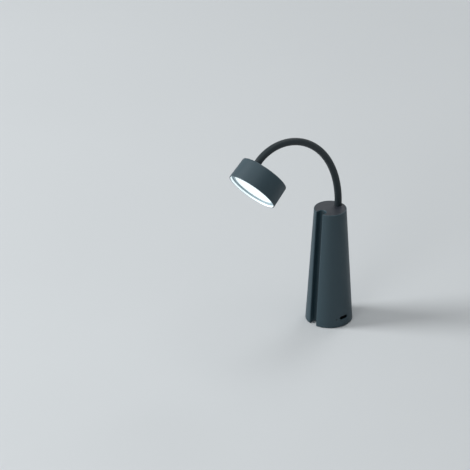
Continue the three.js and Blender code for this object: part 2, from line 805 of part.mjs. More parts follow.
function makeHeadHousing() {
  const e = head_edge_round;
  const rim = head_rim_round;
  const back_edge = quarterRound(headOuter(e) - e, e, e);
  const cup = turned([
    [0, 0],
    ...back_edge,
    [headOuter(head_depth - rim), head_depth - rim],
    [headOuter(head_depth) - rim, head_depth],
    [headBore(head_depth) + rim, head_depth],
    [headBore(head_depth - rim), head_depth - rim],
    [headBore(ledge_level), ledge_level],
    [headPocket(ledge_level), ledge_level],
    [headPocket(head_back_wall), head_back_wall],
    [0, head_back_wall],
  ], sides_large);
  const filled = turned([
    [0, 0],
    ...back_edge,
    [headOuter(post_top), post_top],
    [0, post_top],
  ], sides_large);
  const web_top = web_end(head_sleeve_sink);
  const boss = rod(sleeve_hole_radius + arm_boss_wall, head_back_wall / 2, web_top,
    sides_medium, head_arm_place);
  const posts = head_post_places.map((place) =>
    rod(screw_boss_radius, head_back_wall / 2, post_top, sides_small, place));
  const sleeve_hole = rod(sleeve_hole_radius, -overrun, web_start(head_sleeve_sink),
    sides_medium, head_arm_place);
  const thread_hole = rod(thread_radius + slide_gap, 0, web_top + overrun, sides_small, head_arm_place);
  const pilots = head_post_places.map((place) =>
    pilotHole(place, post_top - screw_length, post_top + overrun));
  return cut(join(cup, join(boss, ...posts).intersect(filled)), sleeve_hole, thread_hole, ...pilots);
}

const head_lead_hole = lead_radius + 2 * seat_gap;

function makeHeatSink() {
  const high = heat_sink_low + heat_sink_thickness;
  return cut(
    pocketDisc(heat_sink_low, high),
    rod(head_lead_hole, heat_sink_low - overrun, high + overrun, sides_small, head_arm_place),
    ...head_post_places.map((place) =>
      clearHole(place, heat_sink_low - overrun, high + overrun)),
  );
}

function makeLedBoard() {
  const high = led_board_low + led_board_thickness;
  return cut(
    join(pocketDisc(led_board_low, high), ...makeLeds()),
    rod(head_lead_hole, led_board_low - overrun, high + overrun, sides_small, head_arm_place),
    ...head_post_places.map((place) =>
      clearHole(place, led_board_low - overrun, high + overrun)),
  );
}

// The light-emitting chips stand on the board in two rings.
function makeLeds() {
  const low = led_board_low + led_board_thickness;
  const half = led_size / 2;
  const chips = [];
  for (const { radius, count } of led_ring_shares) {
    for (let i = 0; i < count; i += 1) {
      const [x, y] = around(radius * pocketRadius(led_board_low), (i + 0.5) * (360 / count));
      const chip = box([x - half, x + half], [y - half, y + half], [low - led_height, low + led_height]);
      chips.push(chip);
    }
  }
  return chips;
}

const makeHeadScrews = () => {
  const seat = led_board_low + led_board_thickness + seat_gap;
  const length = seat - post_top + screw_length - seat_gap;
  return head_post_places.map((place) => screw(place, seat, -1, length));
};

function makeLightFrame() {
  const high = frame_low + light_frame_height;
  return turned([
    [pocketRadius(frame_low) - light_frame_width / 2, frame_low],
    [pocketRadius(frame_low), frame_low],
    [pocketRadius(high), high],
    [pocketRadius(high) - light_frame_width, high],
  ], sides_medium, [0, 0], true);
}

const diffuser_radius = headBore(lens_level) - bezel_width;

function makeDiffuser() {
  return turned([
    [0, diffuser_low],
    [pocketRadius(diffuser_low), diffuser_low],
    [pocketRadius(ledge_level), ledge_level],
    [diffuser_radius - seat_gap, ledge_level],
    [diffuser_radius - seat_gap, lens_level - diffuser_crown_gap],
    [0, lens_level - diffuser_crown_gap],
  ], sides_large);
}

function makeBezel() {
  const low = lens_level - bezel_thickness;
  return turned([
    [diffuser_radius, low],
    [headBore(low) - slide_gap, low],
    [headBore(lens_level) - slide_gap, lens_level],
    [diffuser_radius, lens_level],
  ], sides_large, [0, 0], true);
}

const makeHeadLead = () => rod(lead_radius,
  link_pitch - last_joint_to_head + seat_gap,
  led_board_low + led_board_thickness + seat_gap, 2 * lead_sides, head_arm_place);

// Leads inside the base: from the arm to the board, and from the cell to the board.
const arm_lead_low = base_height + first_joint_height - link_pitch;
const plug_top = board_top + plug_tall + seat_gap;
const [plug_arm, plug_cell] = plug_places.map(([x, y]) => {
  const at = new THREE.Vector2(x, y).rotateAround(new THREE.Vector2(), radians(port_azimuth_deg));
  return [at.x, at.y];
});

// The arm's lead below its stem: across and back as shares of the foot's radius, down as a share of the
// height between the stem's end and the plug.
const base_lead_shares = [
  [0.01, 0.485, 0.045],
  [0.1, 0.53, 0.12],
  [0.24, 0.56, 0.22],
  [0.325, 0.545, 0.36],
  [0.375, 0.51, 0.56],
  [0.425, 0.425, 0.76],
  [0.485, 0.27, 0.88],
  [0.525, 0.18, 0.95],
];
// A cell lead: over as a share of the way to the plug in plan, and down as a share of the drop to it.
const battery_lead_shares = [[0, 0], [0.12, 0.14], [0.29, 0.34], [0.64, 0.61], [1, 0.82], [1, 1]];

function makeBaseLead() {
  const stem_end = base_height - thread_end(base_sleeve_sink);
  const drop = stem_end - plug_top;
  const route = [
    [...arm_exit, arm_lead_low - seat_gap],
    [...arm_exit, stem_end],
    ...base_lead_shares.map(([x, y, down]) =>
      [x * base_foot_radius, y * base_foot_radius, stem_end - down * drop]),
    [...plug_arm, plug_top],
  ];
  return strand(route, lead_radius, lead_sides, base_lead_steps);
}

function makeBatteryLeads() {
  const start = [cell_centre[0] + cradle_radius + battery_lead_spread, cell_centre[1]];
  const drop = cell_low + cell_crimp_height - plug_top;
  return [-battery_lead_spread, battery_lead_spread].map((shift) => {
    const route = battery_lead_shares.map(([over, down]) => [
      start[0] + over * (plug_cell[0] - start[0]),
      start[1] + over * (plug_cell[1] - start[1]) + shift,
      plug_top + (1 - down) * drop,
    ]);
    return strand(route, lead_radius, lead_sides, battery_lead_steps);
  });
}

// Assembly
const lamp = new THREE.Group();

lamp.add(
  mesh('base_shell', makeBaseShell(), slate_plastic),
  mesh('top_cap', makeTopCap(), cap_plastic),
  mesh('touch_pad', makeTouchPad(), brass),
  mesh('base_plate', makeBasePlate(), black_plastic),
  mesh('foot_pad', makeFootPad(), foot_rubber),
  ...meshes('base_screw', makeBaseScrews(), steel),
  mesh('ballast_weight', makeWeight(), cast_iron),
  ...meshes('weight_screw', makeWeightScrews(), steel),
  mesh('battery_cradle', makeCradle(), black_plastic),
  ...meshes('cradle_screw', makeCradleScrews(), steel),
  mesh('battery_cell', makeCell(), cell_blue),
  mesh('base_lead', makeBaseLead(), lead_red),
  ...meshes('battery_lead', makeBatteryLeads(), lead_red),
);

const board = group(
  mesh('main_board', makeBoard(), board_green),
  ...meshes('board_screw', makeBoardScrews(), steel),
  mesh('usb_port', makeReceptacle(), steel),
  mesh('charge_indicator', makeIndicator(), clear_plastic),
  mesh('indicator_led', makeIndicatorLed(), board_white),
  ...meshes('lead_plug', makePlugs(), board_white),
  ...meshes('board_chip', makeChips(), chip_black),
);
board.rotation.z = radians(port_azimuth_deg);
lamp.add(board);

lamp.add(mesh('arm_sleeve', makeSleeve(), arm_rubber), mesh('arm_lead', makeArmLead(), lead_red));

const arm = group(
  mesh('arm_socket', makeArmSocket(), brass),
  mesh('arm_lock_nut', makeNut(-nut_low(base_sleeve_sink) - nut_height), steel),
);
arm.position.set(arm_exit[0], arm_exit[1], base_height);
lamp.add(arm);

// Each link stands on the last one's ball and turns with all before it.
let joint = new THREE.Group();
joint.position.z = first_joint_height;
arm.add(joint);
for (let k = 0; k < link_count; k += 1) {
  joint.rotation.x = radians(bendAt(k));
  joint.add(mesh(`arm_link_${String(k + 1).padStart(2, '0')}`, makeLink(), steel));
  const next = new THREE.Group();
  next.position.z = link_pitch;
  joint.add(next);
  joint = next;
}
joint.rotation.x = radians(bendAt(link_count));
joint.add(mesh('head_ferrule', makeHeadFerrule(), brass));

const head_nut = mesh('head_lock_nut', makeNut(nut_low(head_sleeve_sink)), steel);
head_nut.position.y = head_arm_offset;
const head = group(
  mesh('head_housing', makeHeadHousing(), slate_plastic),
  head_nut,
  mesh('heat_sink', makeHeatSink(), aluminium),
  mesh('led_board', makeLedBoard(), board_white),
  ...meshes('head_screw', makeHeadScrews(), steel),
  mesh('head_lead', makeHeadLead(), lead_red),
  mesh('light_frame', makeLightFrame(), white_plastic),
  mesh('diffuser', makeDiffuser(), lit_diffuser),
  mesh('bezel_ring', makeBezel(), grey_plastic),
);
head.position.set(0, -head_arm_offset, last_joint_to_head);
joint.add(head);

export default lamp;
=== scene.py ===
# A cordless torch desk lamp: a tapered battery base with a groove down its front, a flexible arm and a
# round lamp head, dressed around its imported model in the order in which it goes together.
import json
import math

import bmesh
import bpy
import numpy as np
from mathutils import Matrix, Vector, geometry


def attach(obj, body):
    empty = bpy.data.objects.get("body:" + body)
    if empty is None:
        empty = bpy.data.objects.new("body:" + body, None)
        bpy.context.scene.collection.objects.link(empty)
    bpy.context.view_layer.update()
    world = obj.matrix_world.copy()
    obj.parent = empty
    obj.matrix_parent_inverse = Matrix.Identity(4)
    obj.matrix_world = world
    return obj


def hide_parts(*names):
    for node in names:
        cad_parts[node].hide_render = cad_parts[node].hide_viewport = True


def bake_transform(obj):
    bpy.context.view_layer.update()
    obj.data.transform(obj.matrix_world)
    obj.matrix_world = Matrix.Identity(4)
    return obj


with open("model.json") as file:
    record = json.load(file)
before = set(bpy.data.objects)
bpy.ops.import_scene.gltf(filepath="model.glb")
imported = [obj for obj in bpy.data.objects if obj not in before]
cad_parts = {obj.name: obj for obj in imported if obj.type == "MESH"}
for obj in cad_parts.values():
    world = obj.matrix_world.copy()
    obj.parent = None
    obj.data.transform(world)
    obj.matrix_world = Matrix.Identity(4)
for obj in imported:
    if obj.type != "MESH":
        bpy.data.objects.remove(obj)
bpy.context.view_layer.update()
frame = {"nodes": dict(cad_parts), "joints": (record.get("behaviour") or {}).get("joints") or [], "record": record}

# Foot pad. A die-cut disc of soft black rubber, stuck under the base plate inside the shell's edge.
# The lamp stands on it, and the thin dark line under the base is the gap that it leaves.
mm = 0.001
base_height = 154.0
foot_outer = 29.4
top_outer = 20.2
taper = (foot_outer - top_outer) / base_height
groove_floor_centre = -23.8
foot_radius = 26.8
foot_thickness = 1.2
foot_groove_half = 7.3
foot_corner = 0.6
foot_edge_round = 0.35
round_steps = 4
crease_angle = 32


class Socket:
    """An output of a material's node, on which sums are written as they are on paper."""

    def __init__(self, tree, output=None):
        self.tree = tree
        self.output = output

    def node(self, kind, settings=None, inputs=None, out=0):
        """Adds a node: its settings first, then the values or links of its sockets."""
        made = self.tree.nodes.new(kind)
        for name, value in (settings or {}).items():
            setattr(made, name, value)
        for name, value in (inputs or {}).items():
            if isinstance(value, Socket):
                self.tree.links.new(value.output, made.inputs[name])
            else:
                made.inputs[name].default_value = value
        return Socket(self.tree, made.outputs[out])

    def math(self, operation, *others):
        """A Math node that takes this value first."""
        return self.node("ShaderNodeMath", {"operation": operation}, dict(enumerate((self, *others))))

    def clamped(self):
        """This value kept between 0 and 1."""
        return self.node("ShaderNodeClamp", inputs={"Value": self})

    def mixed(self, low, high):
        """The colour low where this is 0 and high where it is 1; either may be a colour's socket.

        Inputs 6 and 7 and output 2 are the ones of a Mix node that take and give a colour.
        """
        settings = {"data_type": "RGBA"}
        return self.node("ShaderNodeMix", settings, {"Factor": self, 6: low, 7: high}, out=2)

    def __add__(self, other):
        return self.math("ADD", other)

    def __sub__(self, other):
        return self.math("SUBTRACT", other)

    def __rsub__(self, other):
        return self.node("ShaderNodeMath", {"operation": "SUBTRACT"}, {0: other, 1: self})

    def __mul__(self, other):
        return self.math("MULTIPLY", other)

    def __truediv__(self, other):
        return self.math("DIVIDE", other)

    __radd__ = __add__
    __rmul__ = __mul__


def linear(red, green, blue):
    """A screen colour from 0 to 255 as the linear colour that a shader takes."""
    share = np.array([red, green, blue]) / 255
    made = np.where(share <= 0.04045, share / 12.92, ((share + 0.055) / 1.055) ** 2.4)
    return (*made.tolist(), 1.0)


def shaded(colour, by):
    """A linear colour made lighter or darker by a factor."""
    return (*[min(1.0, part * by) for part in colour[:3]], 1.0)


def new_material(name):
    """A material with a Principled shader, and the tree's wrapper to add nodes with."""
    made = bpy.data.materials.new(name)
    made.use_nodes = True
    shader = made.node_tree.nodes["Principled BSDF"]
    return made, shader, Socket(made.node_tree)


def feed(shader, **inputs):
    """Sets or links the shader's sockets; an underscore in a name stands for a space."""
    for name, value in inputs.items():
        socket = shader.inputs[name.replace("_", " ")]
        if isinstance(value, Socket):
            value.tree.links.new(value.output, socket)
        else:
            socket.default_value = value


def grain(tree, place, size, detail=2.0):
    """Even noise about 0.5, its bumps about size metres apart."""
    return tree.node("ShaderNodeTexNoise", inputs={"Vector": place, "Scale": 1 / size, "Detail": detail})


def object_place(tree):
    """Where a point of the piece lies, in metres."""
    return tree.node("ShaderNodeTexCoord", out="Object")


def bumped(tree, height, distance, strength):
    """The surface's direction, roughened by a height from 0 to 1 that stands for distance in metres."""
    inputs = {"Height": height, "Distance": distance, "Strength": strength}
    return tree.node("ShaderNodeBump", inputs=inputs, out="Normal")


def rubber(name, colour, roughness):
    """Matte rubber: soft grain, and dust that lightens it in patches."""
    made, shader, tree = new_material(name)
    place = object_place(tree)
    dust = grain(tree, place, size=14 * mm, detail=4)
    fine = grain(tree, place, size=0.5 * mm)
    colours = (dust * 1.6 - 0.3).clamped().mixed(shaded(colour, 0.9), shaded(colour, 1.12))
    feed(shader, Base_Color=colours, Roughness=roughness + 0.1 * (fine - 0.5), IOR=1.45,
         Normal=bumped(tree, fine, distance=0.03 * mm, strength=0.5))
    return made


def grooved_outline(radius, half, floor, corner, arc=200, turn=9, wall=6, end=33):
    """Points round a disc with a round-ended groove in its -Y side, anticlockwise from above, (N, 2).

    The edge is an arc of radius about the axis. Each lip is an arc of radius corner that touches the edge
    and the groove's wall, so its centre is half + corner across and radius - corner from the axis. The
    walls run straight back to the groove's floor, a half circle of radius half about (0, floor). Arc, turn,
    wall and end are the numbers of points along the edge, each lip, each wall and the floor.
    """
    across = half + corner
    lip = math.atan2(-math.sqrt((radius - corner) ** 2 - across ** 2), across)
    back = (radius - corner) * math.sin(lip)

    def round_about(x, y, size, start, stop, count):
        """Points along an arc about (x, y), from one angle to another."""
        angle = np.linspace(start, stop, count)
        return np.stack([x + size * np.cos(angle), y + size * np.sin(angle)], axis=1)

    def straight(x, start, stop):
        """Points along a wall at x, from one y to another."""
        y = np.linspace(start, stop, wall)
        return np.stack([np.full(wall, x), y], axis=1)

    return np.concatenate([
        round_about(0, 0, radius, lip, math.pi - lip, arc),
        round_about(-across, back, corner, math.pi - lip, 2 * math.pi, turn)[1:],
        straight(-half, back, floor)[1:-1],
        round_about(0, floor, half, math.pi, 0, end),
        straight(half, floor, back)[1:-1],
        round_about(across, back, corner, math.pi, 2 * math.pi + lip, turn)[:-1],
    ])


def at_height(outline, z):
    """An outline of the plan as a loop of points at one height, (N, 3)."""
    return np.column_stack([outline, np.full(len(outline), z)])


def bands(count, size, first=0):
    """Quads between count closed loops of size points each, numbered from first."""
    loop, step = np.meshgrid(np.arange(count - 1), np.arange(size), indexing="ij")
    here = first + loop * size
    beside = (step + 1) % size
    quads = np.stack([here + step, here + beside, here + size + beside, here + size + step], axis=-1)
    return quads.reshape(-1, 4).tolist()


def flat_face(points, *loops):
    """Triangles that fill a flat face between loops of point numbers: its outline, then any holes."""
    numbers = [number for loop in loops for number in loop]
    filled = geometry.tessellate_polygon([[Vector(points[number]) for number in loop] for loop in loops])
    return [[numbers[corner] for corner in corners] for corners in filled]


def quarter(steps=round_steps):
    """Shares of a quarter round's radius from side to top: in, 1 - cosine of the turn, and up, its sine."""
    angle = np.linspace(0, math.pi / 2, steps + 1)
    return np.stack([1 - np.cos(angle), np.sin(angle)], axis=1)


def closed_mesh(name, points, faces):
    """A mesh in metres from points in millimetres, every face turned outward."""
    mesh = bpy.data.meshes.new(name)
    mesh.from_pydata((np.asarray(points) * mm).tolist(), [], faces)
    shape = bmesh.new()
    shape.from_mesh(mesh)
    bmesh.ops.recalc_face_normals(shape, faces=shape.faces)
    if shape.calc_volume(signed=True) < 0:
        bmesh.ops.reverse_faces(shape, faces=shape.faces)
    shape.to_mesh(mesh)
    shape.free()
    return mesh


def made_piece(name, points, faces, body, materials, replaced, crease=crease_angle):
    """A smooth piece, sharp where it turns by more than the crease in degrees, that stands for CAD nodes.

    It rides on its body. With none it rides on nothing.
    """
    mesh = closed_mesh(name, points, faces)
    mesh.shade_smooth()
    mesh.set_sharp_from_angle(angle=math.radians(crease))
    piece = bpy.data.objects.new(name, mesh)
    bpy.context.scene.collection.objects.link(piece)
    for material in materials:
        mesh.materials.append(material)
    if body:
        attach(piece, body)
    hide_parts(*replaced)
    return piece


def numbered(loop, size, first=0):
    """The point numbers of one loop of a stack of loops whose points start at first."""
    return list(range(first + loop * size, first + (loop + 1) * size))


foot_rubber = rubber("foot_rubber", linear(34, 36, 38), roughness=0.75)
foot_profile = [(foot_edge_round * inward, foot_edge_round * (1 - up)) for inward, up in quarter()[::-1]]
foot_profile += [(0.0, foot_thickness)]
foot_loops = [
    at_height(grooved_outline(foot_radius - inset, foot_groove_half + inset, groove_floor_centre + taper * z,
                              foot_corner - inset), z)
    for inset, z in foot_profile
]
foot_points = np.concatenate(foot_loops)
foot_size = len(foot_loops[0])
foot_faces = bands(len(foot_loops), foot_size)
foot_faces += flat_face(foot_points, numbered(0, foot_size))
foot_faces += flat_face(foot_points, numbered(len(foot_loops) - 1, foot_size))
made_piece("foot_pad_rubber", foot_points, foot_faces, "base", [foot_rubber], ["foot_pad"])

# Parts inside the base. The plate, the iron weight, the cell in its cradle, the charging board and the
# screws keep their CAD shapes; each gets the finish of what it is made of.
# A closed housing hides all but the edge of the receptacle, which shows through the port.


def moulded(name, colour, roughness, texture=0.35 * mm):
    """Moulded plastic with a fine spark-eroded texture and slightly uneven gloss."""
    made, shader, tree = new_material(name)
    place = object_place(tree)
    cloud = grain(tree, place, size=25 * mm, detail=3)
    fine = grain(tree, place, size=texture)
    colours = cloud.mixed(shaded(colour, 0.95), shaded(colour, 1.05))
    feed(shader, Base_Color=colours, Roughness=roughness + 0.12 * (cloud - 0.5), IOR=1.5,
         Normal=bumped(tree, fine, distance=0.02 * mm, strength=0.6))
    return made


def metal(name, colour, roughness, streak=(1, 1, 1), texture=0.4 * mm, depth=0.01 * mm):
    """Bare metal, its grain drawn out along the axis with the smallest streak."""
    made, shader, tree = new_material(name)
    stretched = tree.node("ShaderNodeMapping", inputs={"Vector": object_place(tree), "Scale": streak})
    fine = grain(tree, stretched, size=texture, detail=4)
    colours = fine.mixed(shaded(colour, 0.85), shaded(colour, 1.1))
    feed(shader, Base_Color=colours, Metallic=1.0, Roughness=roughness + 0.25 * (fine - 0.5),
         Normal=bumped(tree, fine, distance=depth, strength=0.5))
    return made


def circuit_board(name, mask, track):
    """Solder mask over copper, with the faint raised lines of its tracks along the edges of small cells."""
    made, shader, tree = new_material(name)
    place = object_place(tree)
    weave = grain(tree, place, size=0.6 * mm)
    track_spacing, line_sharpness = 2.4 * mm, 14
    cells = tree.node("ShaderNodeTexVoronoi", {"feature": "DISTANCE_TO_EDGE"},
                      {"Vector": place, "Scale": 1 / track_spacing})
    line = (1 - cells * line_sharpness).clamped()
    feed(shader, Base_Color=line.mixed(mask, track), Roughness=0.35 + 0.1 * weave,
         Normal=bumped(tree, line, distance=0.03 * mm, strength=0.6))
    return made


finishes = {
    "black_plastic": moulded("black_plastic", linear(30, 32, 34), roughness=0.45),
    "white_plastic": moulded("white_plastic", linear(240, 242, 243), roughness=0.4),
    "chip_black": moulded("chip_black", linear(30, 31, 33), roughness=0.4, texture=0.2 * mm),
    "clear_plastic": moulded("smoked_plastic", linear(14, 17, 19), roughness=0.15),
    "cell_blue": moulded("cell_wrap", linear(58, 112, 158), roughness=0.3, texture=1.5 * mm),
    "lead_red": moulded("lead_insulation", linear(140, 48, 42), roughness=0.4, texture=0.6 * mm),
    "steel": metal("bright_steel", linear(196, 199, 202), roughness=0.3, streak=(1, 1, 0.2)),
    "brass": metal("turned_brass", linear(188, 160, 96), roughness=0.35, streak=(0.3, 0.3, 1)),
    "cast_iron": metal("cast_iron", linear(82, 84, 86), roughness=0.65, texture=0.8 * mm, depth=0.06 * mm),
    "aluminium": metal("stamped_aluminium", linear(200, 203, 205), roughness=0.4, streak=(0.2, 1, 1)),
    "board_green": circuit_board("green_board", linear(30, 88, 58), linear(52, 122, 84)),
    "board_white": circuit_board("white_board", linear(234, 236, 236), linear(218, 220, 222)),
    "foot_rubber": foot_rubber,
}

# Base shell. One moulded cup of slate plastic, 1.8 mm thick and open below, that tapers from foot to top.
# The groove that takes the folded arm runs its whole height, with softly rounded lips; the flat deck at the
# top is sunk by the thickness of the cap, inside a thin rim.
shell_wall = 1.8
groove_half = 5.0
groove_wall = 1.5
lip_round = 1.2
inner_corner = 0.15
shadow_gap = 0.8
low_edge_width = 1.1
low_round = 0.35
top_round = 0.5
rim_width = 0.9
rim_bevel = 0.12
cap_thickness = 1.2
deck_underside = 151.0
arm_place = (0.0, 13.9)
arm_hole = 4.8
hole_draft = 0.15
hole_count = 72
inside_levels = 24
outside_levels = 104
slate = linear(33, 55, 64)


def ramp(value, start, stop):
    """0 where a value is at start, 1 where it is at stop, even between and flat beyond."""
    return ((value - start) / (stop - start)).clamped()


def shell_edges_wear_and_highlight(tree, place):
    """1 on the shell's rounded edges: the groove's lips, the rim round the deck and the foot, which wear and a
    painted highlight lighten.
    """
    x, y, z = [tree.node("ShaderNodeSeparateXYZ", inputs={"Vector": place}, out=axis) for axis in range(3)]
    radius = (x * x + y * y).math("SQRT")
    skin = ramp(radius + taper * z, (foot_outer - lip_round) * mm, (foot_outer - 0.4 * lip_round) * mm)
    lips = ramp(x.math("ABSOLUTE"), (groove_half + 1.1 * lip_round) * mm,
                (groove_half + 0.3 * lip_round) * mm)
    front = ramp(y, 0.0, -groove_half * mm)
    rim = ramp(z, (base_height - 1.6 * top_round) * mm, (base_height - 0.6 * top_round) * mm)
    foot = ramp(z, (shadow_gap + 3 * low_round) * mm, (shadow_gap + low_round) * mm)
    return (skin * lips * front).math("MAXIMUM", rim.math("MAXIMUM", foot))


def plastic_with_wear_and_painted_highlight(name, colour, roughness=0.52, edges=None):
    """Slate plastic with a fine matte texture, clouded a little, and smoother where hands hold it.

    Edges is the function that marks a piece's edges, which rubbing makes glossier and which are lightened, partly
    as wear and partly as a painted highlight.
    """
    made, shader, tree = new_material(name)
    place = object_place(tree)
    upright = tree.node("ShaderNodeMapping", inputs={"Vector": place, "Scale": (1, 1, 0.35)})
    cloud = grain(tree, place, size=40 * mm, detail=5)
    smear = grain(tree, upright, size=9 * mm, detail=6)
    fine = grain(tree, place, size=0.32 * mm, detail=3)
    pores = grain(tree, place, size=0.11 * mm, detail=1)
    held = (smear * 2.6 - 1.05).clamped()
    speck = (pores * 5 - 3.1).clamped()
    clouded = cloud.mixed(shaded(colour, 0.94), shaded(colour, 1.06))
    colours = (0.25 * speck).mixed(clouded, shaded(colour, 1.35))
    gloss = roughness - 0.09 * held + 0.08 * (fine - 0.5)
    if edges:
        # Painted highlight: the rounded edges are lightened, partly as rubbed wear and partly standing in for the
        # light that catches them.
        wear_and_painted_highlight = edges(tree, place) * (smear * 1.6 - 0.15).clamped()
        colours = (0.5 * wear_and_painted_highlight).mixed(colours, shaded(colour, 2.2))
        gloss = gloss - 0.16 * wear_and_painted_highlight
    feed(shader, Base_Color=colours, Roughness=gloss, IOR=1.5,
         Normal=bumped(tree, fine + 0.5 * pores, distance=0.03 * mm, strength=0.55))
    return made


def shell_loop(z, inset):
    """The shell's outside at a height, drawn in by inset on every side, the groove's too."""
    outline = grooved_outline(foot_outer - taper * z - inset, groove_half + inset,
                              groove_floor_centre + taper * z, lip_round - inset)
    return at_height(outline, z)


def inner_loop(z):
    """The shell's inside at a height, a wall's thickness in, with tight corners beside the groove."""
    outline = grooved_outline(foot_outer - taper * z - shell_wall, groove_half + groove_wall,
                              groove_floor_centre + taper * z, inner_corner)
    return at_height(outline, z)


def circle_loop(centre, radius, z, count=hole_count):
    """A circle of points at a height."""
    angle = np.linspace(0, 2 * math.pi, count, endpoint=False)
    return np.stack([centre[0] + radius * np.cos(angle), centre[1] + radius * np.sin(angle),
                     np.full(count, z)], axis=1)


def stacked(*stacks):
    """Stacks of loops as one array of points, with the number of the first point of each stack."""
    starts = np.cumsum([0] + [sum(len(loop) for loop in stack) for stack in stacks])
    return np.concatenate([loop for stack in stacks for loop in stack]), starts[:-1].tolist()


slate_plastic = plastic_with_wear_and_painted_highlight("slate_plastic", slate, edges=shell_edges_wear_and_highlight)
wall_loops = [inner_loop(z) for z in np.linspace(deck_underside, shadow_gap + rim_bevel, inside_levels)]
wall_loops += [shell_loop(shadow_gap, low_edge_width)]
wall_loops += [shell_loop(shadow_gap + low_round * (1 - up), low_round * inward)
               for inward, up in quarter()[::-1]]
wall_heights = np.linspace(shadow_gap + low_round, base_height - top_round, outside_levels)
wall_loops += [shell_loop(z, 0) for z in wall_heights[1:]]
wall_loops += [shell_loop(base_height - top_round + top_round * up, top_round * inward)
               for inward, up in quarter()[1:]]
wall_loops += [
    shell_loop(base_height, rim_width - rim_bevel),
    shell_loop(base_height - rim_bevel, rim_width),
    shell_loop(base_height - cap_thickness, rim_width),
]
hole_loops = [
    circle_loop(arm_place, arm_hole, base_height - cap_thickness),
    circle_loop(arm_place, arm_hole - hole_draft, deck_underside),
]
shell_points, (wall_start, hole_start) = stacked(wall_loops, hole_loops)
wall_size, hole_size = len(wall_loops[0]), len(hole_loops[0])
shell_faces = bands(len(wall_loops), wall_size)
shell_faces += bands(2, hole_size, hole_start)
shell_faces += flat_face(shell_points, numbered(len(wall_loops) - 1, wall_size, wall_start),
                         numbered(0, hole_size, hole_start))
shell_faces += flat_face(shell_points, numbered(0, wall_size, wall_start), numbered(1, hole_size, hole_start))
base_shell = made_piece("base_shell_moulding", shell_points, shell_faces, "base", [slate_plastic],
                        ["base_shell"])

# Charging port and indicator. A stadium-shaped opening with a chamfered edge, low on the +X side, leads to
# the receptacle behind it, darkened as painted shade. The small smoked light pipe beside it ends flush with the
# wall.
port_turn = math.radians(-5)
port_height = 12.0
port_width = 12.0
port_tall = 4.4
port_chamfer = 0.35
port_depth = 4.0
pipe_turn = math.radians(-26)
pipe_height = 11.1
pipe_hole = 0.8
pipe_chamfer = 0.1
pipe_radius = 0.68
pipe_length = 4.0
pipe_sink = 0.12
pipe_dome = 0.2
pipe_dome_turns = np.linspace(0.2, 1.35, 6)
pipe_count = 24
stadium_count = 24
half_circle_gap = 0.01


def stadium(width, tall):
    """A stadium of that width and height about the origin, (N, 2), from two half circles.

    It is wider than tall, by a hair where it stands for a circle, so that the half circles don't meet.
    """
    angle = np.linspace(-math.pi / 2, math.pi / 2, stadium_count)
    end = tall / 2 * np.stack([np.cos(angle), np.sin(angle)], axis=1)
    shift = np.array([(width - tall) / 2, 0])
    return np.concatenate([end + shift, -end - shift])


def on_wall(outline, height, depth):
    """A flat outline wrapped on the shell's tapered side about +X, sunk into it by depth.

    What is across becomes y and what is up is added to the height. There x is the root of the wall's
    radius squared less y squared, and the depth is taken off it.
    """
    z = height + outline[:, 1]
    radius = foot_outer - taper * z
    return np.column_stack([np.sqrt(radius ** 2 - outline[:, 0] ** 2) - depth, outline[:, 0], z])


def turned_about_axis(points, angle):
    """Points turned about the lamp's axis."""
    cosine, sine = math.cos(angle), math.sin(angle)
    return points @ np.array([[cosine, sine, 0], [-sine, cosine, 0], [0, 0, 1]])


def opening_cutter(loops, angle):
    """The solid that an opening is cut with, through a stack of loops from inside to outside."""
    points = turned_about_axis(np.concatenate(loops), angle)
    size = len(loops[0])
    faces = bands(len(loops), size)
    faces += flat_face(points, numbered(0, size)) + flat_face(points, numbered(len(loops) - 1, size))
    cutter = bpy.data.objects.new("opening_cutter", closed_mesh("opening_cutter", points, faces))
    bpy.context.scene.collection.objects.link(cutter)
    return cutter


def opening_loops(width, tall, chamfer, depth):
    """Outlines of an opening and their depths in the wall: straight, then flared outward at 45 degrees.

    The flare runs from one chamfer under the wall's face to one above it, so at the face it is half done.
    """
    straight, flared = stadium(width, tall), stadium(width + 4 * chamfer, tall + 4 * chamfer)
    return [(straight, depth), (straight, chamfer), (flared, -chamfer), (flared, -depth)]


openings = (
    (port_width, port_tall, port_chamfer, port_height, port_turn),
    (2 * pipe_hole + half_circle_gap, 2 * pipe_hole, pipe_chamfer, pipe_height, pipe_turn),
)
cutters = []
for width, tall, chamfer, height, turn in openings:
    outlines = opening_loops(width, tall, chamfer, port_depth)
    loops = [on_wall(outline, height, depth) for outline, depth in outlines]
    cutters.append(opening_cutter(loops, turn))
for cutter in cutters:
    cut = base_shell.modifiers.new("opening", "BOOLEAN")
    cut.operation = "DIFFERENCE"
    cut.solver = "EXACT"
    cut.object = cutter
bpy.context.view_layer.update()
opened = bpy.data.meshes.new_from_object(base_shell.evaluated_get(bpy.context.evaluated_depsgraph_get()))
base_shell.modifiers.clear()
base_shell.data = opened
opened.shade_smooth()
opened.set_sharp_from_angle(angle=math.radians(crease_angle))
for cutter in cutters:
    bpy.data.objects.remove(cutter)

pipe_tip = foot_outer - taper * pipe_height - pipe_sink
pipe_profile = [(0.0, pipe_tip - pipe_length), (pipe_radius, pipe_tip - pipe_length), (pipe_radius, pipe_tip)]
pipe_profile += [(pipe_radius * math.cos(rise), pipe_tip + pipe_dome * math.sin(rise))
                 for rise in pipe_dome_turns]
pipe_profile += [(0.0, pipe_tip + pipe_dome)]


def lathe(profile, count):
    """Loops of points from a profile of (radius, height) pairs turned about Z, (pairs, count, 3).

    A point's x and y are the radius times the cosine and the sine of the turn, and its z is the height.
    """
    angle = np.linspace(0, 2 * math.pi, count, endpoint=False)
    radius, height = np.array(profile, float).T
    ring = np.stack([np.cos(angle), np.sin(angle)], axis=1)
    points = radius[:, None, None] * ring[None]
    heights = np.broadcast_to(height[:, None, None], (len(profile), count, 1))
    return np.concatenate([points, heights], axis=2)


